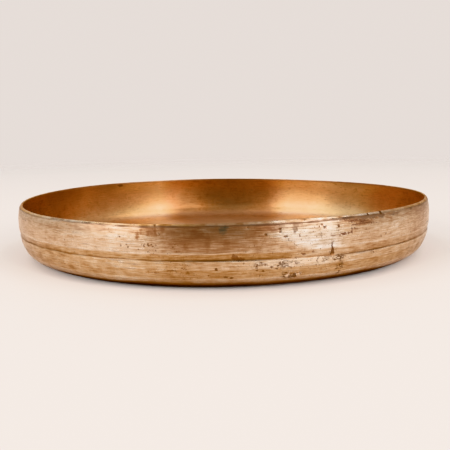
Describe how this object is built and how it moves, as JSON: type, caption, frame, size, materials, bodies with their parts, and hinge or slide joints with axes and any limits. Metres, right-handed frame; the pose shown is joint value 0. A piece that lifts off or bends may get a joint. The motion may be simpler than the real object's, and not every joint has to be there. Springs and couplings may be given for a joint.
{
  "type": "singing bowl",
  "caption": "Wide shallow singing bowl of hand-beaten bronze with a flat base, a tight rounded corner, a low upright wall and a turned step round the outside; it rings when struck or rubbed.",
  "frame": {"origin": "centre of the flat underside, on the surface that the bowl stands on", "axes": "+Z is the bowl's axis, up out of its mouth; +X to the right and -Y towards a viewer in front of it"},
  "size_m": [0.3, 0.3, 0.0384],
  "materials": {
    "bronze": "worn hand-turned bronze with fine lathe lines, brown patina, stains and small pits"
  },
  "bodies": {
    "root": {"bowl": "bronze"}
  },
  "joints": []
}
